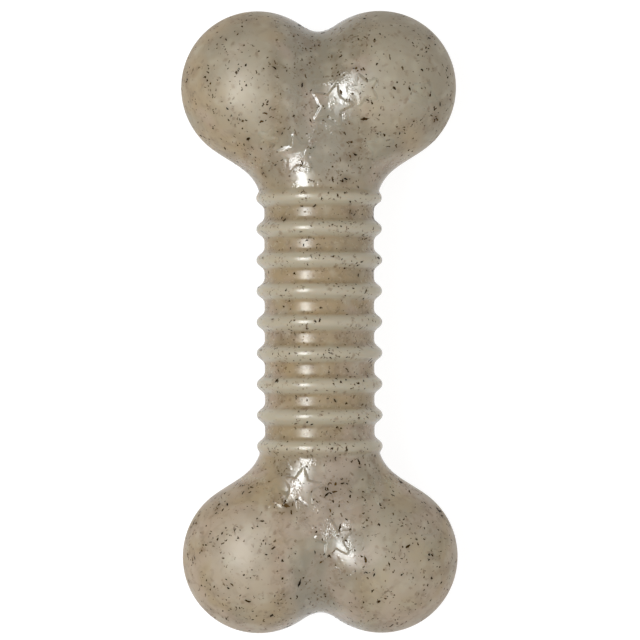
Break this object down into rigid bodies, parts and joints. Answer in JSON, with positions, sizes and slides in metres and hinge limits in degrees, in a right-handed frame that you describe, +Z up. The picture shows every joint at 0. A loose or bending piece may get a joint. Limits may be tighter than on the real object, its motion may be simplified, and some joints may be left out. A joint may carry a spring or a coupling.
{
  "type": "nylon chew bone",
  "caption": "Solid bone-shaped dog chew: a ribbed round shaft between two double-lobed knuckles, with dark flakes of filler set in the nylon skin.",
  "frame": {"origin": "on the surface the bone lies on, under the middle of the shaft", "axes": "+Y along the bone's length, +X across the two lobes of a knuckle, +Z up from the surface it lies on; the picture looks down along -Z with +Y at its top"},
  "size_m": [0.0784, 0.1774, 0.0433],
  "materials": {
    "nylon": "translucent tan, glossy as moulded",
    "flake": "dark brown, dull"
  },
  "bodies": {
    "root": {"flake_lower_left_back_1": "flake", "flake_lower_left_back_2": "flake", "flake_lower_left_back_3": "flake", "flake_lower_left_back_4": "flake", "flake_lower_left_back_5": "flake", "flake_lower_left_back_6": "flake", "flake_lower_left_front_1": "flake", "flake_lower_left_front_2": "flake", "flake_lower_left_front_3": "flake", "flake_lower_left_front_4": "flake", "flake_lower_left_front_5": "flake", "flake_lower_left_front_6": "flake", "flake_lower_right_back_1": "flake", "flake_lower_right_back_2": "flake", "flake_lower_right_back_3": "flake", "flake_lower_right_back_4": "flake", "flake_lower_right_back_5": "flake", "flake_lower_right_front_1": "flake", "flake_lower_right_front_2": "flake", "flake_lower_right_front_3": "flake", "flake_lower_right_front_4": "flake", "flake_lower_right_front_5": "flake", "flake_shaft_back_1": "flake", "flake_shaft_back_2": "flake", "flake_shaft_back_3": "flake", "flake_shaft_back_4": "flake", "flake_shaft_front_1": "flake", "flake_shaft_front_2": "flake", "flake_shaft_front_3": "flake", "flake_shaft_front_4": "flake", "flake_upper_left_back_1": "flake", "flake_upper_left_back_2": "flake", "flake_upper_left_back_3": "flake", "flake_upper_left_back_4": "flake", "flake_upper_left_back_5": "flake", "flake_upper_left_front_1": "flake", "flake_upper_left_front_2": "flake", "flake_upper_left_front_3": "flake", "flake_upper_left_front_4": "flake", "flake_upper_left_front_5": "flake", "flake_upper_right_back_1": "flake", "flake_upper_right_back_2": "flake", "flake_upper_right_back_3": "flake", "flake_upper_right_back_4": "flake", "flake_upper_right_back_5": "flake", "flake_upper_right_back_6": "flake", "flake_upper_right_front_1": "flake", "flake_upper_right_front_2": "flake", "flake_upper_right_front_3": "flake", "flake_upper_right_front_4": "flake", "flake_upper_right_front_5": "flake", "flake_upper_right_front_6": "flake", "nylon_body": "nylon"}
  },
  "joints": []
}
